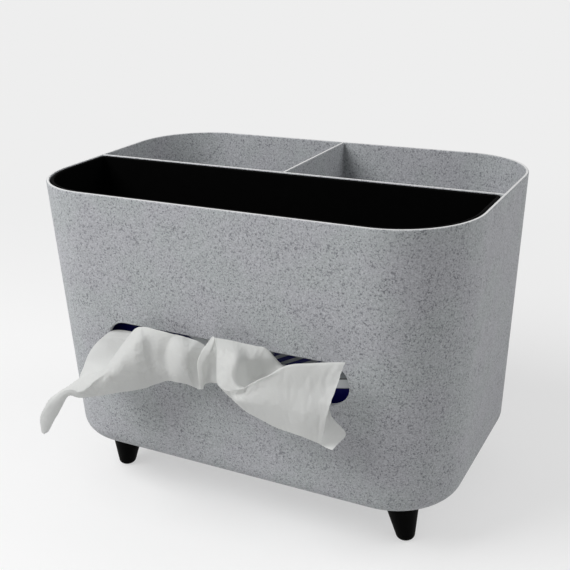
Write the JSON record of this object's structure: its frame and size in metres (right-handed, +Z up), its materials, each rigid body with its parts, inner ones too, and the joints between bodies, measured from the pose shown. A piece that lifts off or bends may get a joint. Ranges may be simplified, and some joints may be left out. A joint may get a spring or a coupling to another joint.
{
  "type": "tissue box with lift-out tray",
  "caption": "Countertop tissue box with a front slot, a lift-out tray over the tissue refill, two open rear compartments and tapered feet.",
  "frame": {"origin": "on the table, midway between the four feet", "axes": "+Z up, -Y out of the face with the tissue slot, +X along the long side to the right as seen from the front"},
  "size_m": [0.22, 0.166, 0.162],
  "materials": {
    "speckled_body": "fine grey speckle, satin matt moulded plastic",
    "tray_black": "matt black moulded plastic",
    "foot_black": "satin black moulded plastic",
    "screw_steel": "zinc-plated steel",
    "refill_film": "thin printed film in white and navy",
    "stack_paper": "stacked soft tissue",
    "sheet_paper": "soft thin tissue"
  },
  "bodies": {
    "body": {"body_shell": "speckled_body", "foot_front_left": "foot_black", "foot_front_right": "foot_black", "foot_rear_left": "foot_black", "foot_rear_right": "foot_black", "foot_screw_front_left": "screw_steel", "foot_screw_front_right": "screw_steel", "foot_screw_rear_left": "screw_steel", "foot_screw_rear_right": "screw_steel", "refill_film": "refill_film", "paper_stack": "stack_paper", "drawn_tissue": "sheet_paper"},
    "tray": {"lift_out_tray": "tray_black"}
  },
  "joints": [
    {"name": "tray_lift", "type": "slide", "parent": "body", "child": "tray", "axis": [0, 0, 1], "range_m": [0, 0.045]}
  ]
}
